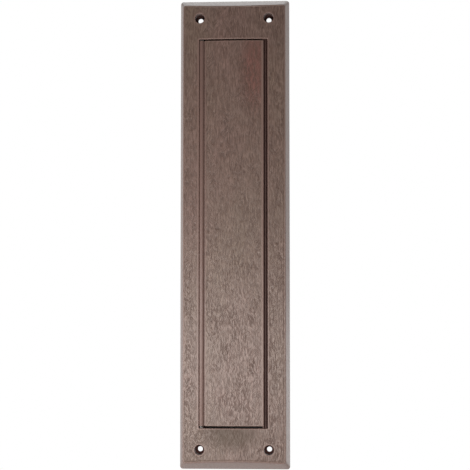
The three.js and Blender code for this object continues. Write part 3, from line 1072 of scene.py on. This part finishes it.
def brown_plastic():
    """Satin brown moulding with an embossed wood grain. Its recesses are matt and darkened with painted
    shade.
    """
    paint = Paint("moulded_brown", (0.08, 0.042, 0.027), 0.4)
    paint.shader.inputs["Specular IOR Level"].default_value = 0.5
    paint.shader.inputs["Specular Tint"].default_value = (1, 0.92, 0.87, 1)
    patches = paint.ramp(paint.noise(22, 3, 0.6, (1, 1, 0.45)), 0.36, 0.64)
    clouds = paint.ramp(paint.noise(95, 4, 0.65, (1, 1, 0.25)), 0.35, 0.7)
    streaks = paint.ramp(paint.noise(1100, 2, 0.6, (1, 1, 0.13)), 0.42, 0.6)
    textured = paint.attribute("textured")
    lines = paint.strokes(1.5, 0.3)
    ink = paint.ramp(lines, 0.48, 0.57)
    # Lighter lines beside the grain's strokes: partly grain colour, partly a painted highlight on the
    # raised ridges.
    light_grain_and_highlight = paint.maths("MULTIPLY", textured, paint.ramp(lines, 0.42, 0.34))
    inked = paint.maths("MULTIPLY", paint.attribute("strength"), ink)
    ground = paint.mix(patches, (0.124, 0.073, 0.060), (0.110, 0.074, 0.054))
    ground = paint.over(ground, clouds, 0.6, (0.087, 0.056, 0.044))
    ground = paint.over(ground, paint.attribute("ruddy"), 0.8, (0.102, 0.034, 0.026))
    grained = paint.over(ground, streaks, 0.55, (0.052, 0.027, 0.018))
    grained = paint.over(grained, paint.attribute("pore"), 0.6, (0.046, 0.022, 0.014))
    grained = paint.over(grained, light_grain_and_highlight, 0.2, (0.185, 0.120, 0.100))
    grained = paint.over(grained, inked, 0.48, (0.034, 0.014, 0.009))
    # Painted shade below the opening: a darker colour there, and a rougher finish.
    dull_and_shaded = paint.maths("MULTIPLY", paint.attribute("dull_and_shaded"), 0.65)
    grained = paint.mix(dull_and_shaded, grained, (0.045, 0.030, 0.019))
    plain = paint.over((0.115, 0.068, 0.055), clouds, 0.5, (0.096, 0.058, 0.046))
    colour = paint.mix(textured, plain, grained)
    # Painted shade: the base colour darkens towards a deep red-brown in the recesses.
    recess = paint.attribute("recess")
    paint.use("Base Color", paint.mix(recess, colour, (0.052, 0.016, 0.012)))
    rough = paint.maths("ADD", paint.ramp(inked, 0, 1, 0.36, 0.6), paint.maths("MULTIPLY", recess, 0.35))
    rough = paint.maths("ADD", rough, paint.maths("MULTIPLY", dull_and_shaded, 0.3))
    paint.use("Roughness", rough)
    paint.bump(paint.maths("SUBTRACT", 1.0, inked), 0.00006)
    paint.bump(streaks, 0.00004)
    paint.bump(paint.noise(2600, 2, 0.6), 0.000012)
    return paint.material


def nylon():
    paint = Paint("nylon", (0.045, 0.03, 0.024), 0.45)
    cloud = paint.ramp(paint.noise(300, 3), 0.35, 0.65)
    paint.use("Base Color", paint.mix(cloud, (0.05, 0.033, 0.026), (0.036, 0.024, 0.019)))
    paint.use("Roughness", paint.ramp(paint.noise(900, 3), 0.3, 0.7, 0.4, 0.56))
    paint.bump(paint.noise(3500, 2, 0.6), 0.00002)
    return paint.material


def zinc_steel():
    """Zinc plating: faintly cloudy, with fine scratches."""
    paint = Paint("zinc_steel", (0.5, 0.5, 0.48), 0.32, 1.0)
    cloud = paint.ramp(paint.noise(420, 4, 0.65), 0.3, 0.7)
    paint.use("Base Color", paint.mix(cloud, (0.60, 0.60, 0.58), (0.42, 0.42, 0.40)))
    paint.use("Roughness", paint.ramp(paint.noise(1600, 3, 0.6), 0.3, 0.7, 0.22, 0.42))
    paint.bump(paint.noise(5200, 2, 0.7), 0.000012)
    return paint.material


def aluminium():
    """Mill-finish extrusion with die lines along its length."""
    paint = Paint("aluminium", (0.6, 0.61, 0.62), 0.38, 1.0)
    lines = paint.noise(4200, 2, 0.7, (1, 1, 0.004))
    cloud = paint.ramp(paint.noise(120, 4, 0.6, (1, 1, 0.3)), 0.3, 0.7)
    paint.use("Base Color", paint.mix(cloud, (0.66, 0.67, 0.68), (0.52, 0.53, 0.54)))
    paint.use("Roughness", paint.ramp(lines, 0.3, 0.7, 0.28, 0.5))
    paint.bump(lines, 0.00002)
    return paint.material


def bristle_fibre():
    """Black fibre, each strand a little different, with a soft gloss."""
    paint = Paint("bristle_fibre", (0.012, 0.011, 0.01), 0.42)
    paint.shader.inputs["Specular IOR Level"].default_value = 0.3
    shade = paint.attribute("shade")
    paint.use("Base Color", paint.mix(shade, (0.007, 0.0065, 0.006), (0.026, 0.023, 0.021)))
    paint.use("Roughness", paint.ramp(shade, 0, 1, 0.42, 0.6))
    paint.bump(paint.noise(9000, 2, 0.6), 0.000008)
    return paint.material


def pale_floor():
    paint = Paint("pale_floor", (0.86, 0.86, 0.86), 0.75)
    paint.shader.inputs["Emission Color"].default_value = (1, 1, 1, 1)
    paint.shader.inputs["Emission Strength"].default_value = 0.3
    cloud = paint.ramp(paint.noise(3, 3), 0.3, 0.7)
    paint.use("Base Color", paint.mix(cloud, (0.87, 0.87, 0.87), (0.84, 0.84, 0.84)))
    return paint.material


# ---- camera, light and floor ----

CAMERA = SimpleNamespace(place=(66.1, 1063.5, -62.5), yaw=-3.559, pitch=3.287, lens=113.31)


def build_camera():
    data = bpy.data.cameras.new("camera")
    data.lens = CAMERA.lens
    data.sensor_width = 36
    data.clip_start = 0.05
    data.clip_end = 50
    camera = bpy.data.objects.new("camera", data)
    x, depth, z = CAMERA.place
    camera.location = (x * MM, -depth * MM, z * MM)
    camera.rotation_euler = Euler((math.radians(90 + CAMERA.pitch), 0, -math.radians(CAMERA.yaw)))
    bpy.context.scene.collection.objects.link(camera)
    bpy.context.scene.camera = camera


AMBIENT = SimpleNamespace(front=0.38, rear=1.1)


def softbox(name, place, target, size, radiance):
    """A rectangular light that gives off an even radiance over its face."""
    data = bpy.data.lights.new(name, "AREA")
    data.shape = "RECTANGLE"
    data.size, data.size_y = size
    data.energy = radiance * math.pi * size[0] * size[1]
    light = bpy.data.objects.new(name, data)
    light.location = place
    light.rotation_euler = (Vector(target) - Vector(place)).to_track_quat("-Z", "Y").to_euler()
    light.visible_camera = False
    bpy.context.scene.collection.objects.link(light)


def build_light():
    scene = bpy.context.scene
    scene.view_settings.view_transform = "Standard"
    scene.world = white_room()
    softbox("key", (-0.16, -0.35, -0.118), (0, 0, -0.05), (1.0, 0.15), 8.2)
    softbox("rear", (0, 0.75, 0.85), (0, 0, 0), (0.8, 0.45), 1.2)
    softbox("rim", (0.62, 0.95, -0.3), (0, 0, -0.1), (0.5, 0.5), 1.15)


def white_room():
    """A world that is white to the camera and lights the object softly, most from behind."""
    world = bpy.data.worlds.new("studio")
    world.use_nodes = True
    nodes = world.node_tree.nodes
    links = world.node_tree.links
    backdrop = nodes["Background"]
    backdrop.inputs["Color"].default_value = (1, 1, 1, 1)
    ambient = nodes.new("ShaderNodeBackground")
    way = nodes.new("ShaderNodeTexCoord")
    split = nodes.new("ShaderNodeSeparateXYZ")
    links.new(way.outputs["Generated"], split.inputs["Vector"])
    share = nodes.new("ShaderNodeMapRange")
    links.new(split.outputs["Y"], share.inputs["Value"])
    share.inputs["From Min"].default_value = 0.0
    share.inputs["From Max"].default_value = 0.6
    share.inputs["To Min"].default_value = AMBIENT.front
    share.inputs["To Max"].default_value = AMBIENT.rear
    links.new(share.outputs["Result"], ambient.inputs["Strength"])
    path = nodes.new("ShaderNodeLightPath")
    mix = nodes.new("ShaderNodeMixShader")
    links.new(path.outputs["Is Camera Ray"], mix.inputs[0])
    links.new(ambient.outputs[0], mix.inputs[1])
    links.new(backdrop.outputs[0], mix.inputs[2])
    links.new(mix.outputs[0], nodes["World Output"].inputs["Surface"])
    ambient.inputs["Color"].default_value = (1, 1, 1, 1)
    return world


def build_floor(material):
    drop = 0.25
    half = 2.2
    z = PLATE.bottom * MM - drop
    mesh = bpy.data.meshes.new("floor")
    corners = [(-half, -half, z), (half, -half, z), (half, half, z), (-half, half, z)]
    mesh.from_pydata(corners, [], [(0, 1, 2, 3)])
    mesh.materials.append(material)
    floor = bpy.data.objects.new("floor", mesh)
    bpy.context.scene.collection.objects.link(floor)


# ---- the whole ----

build_camera()
build_light()
build_floor(pale_floor())
brown = brown_plastic()
steel = zinc_steel()
metal = aluminium()
fibre = bristle_fibre()
build_plate(brown)
build_flap(brown)
build_hinge(steel, nylon())
for seed, edge_name in enumerate(EDGES, 5):
    build_carrier(edge_name, metal)
    build_core(edge_name, steel)
    build_bristles(edge_name, fibre, seed)
build_screws(steel)
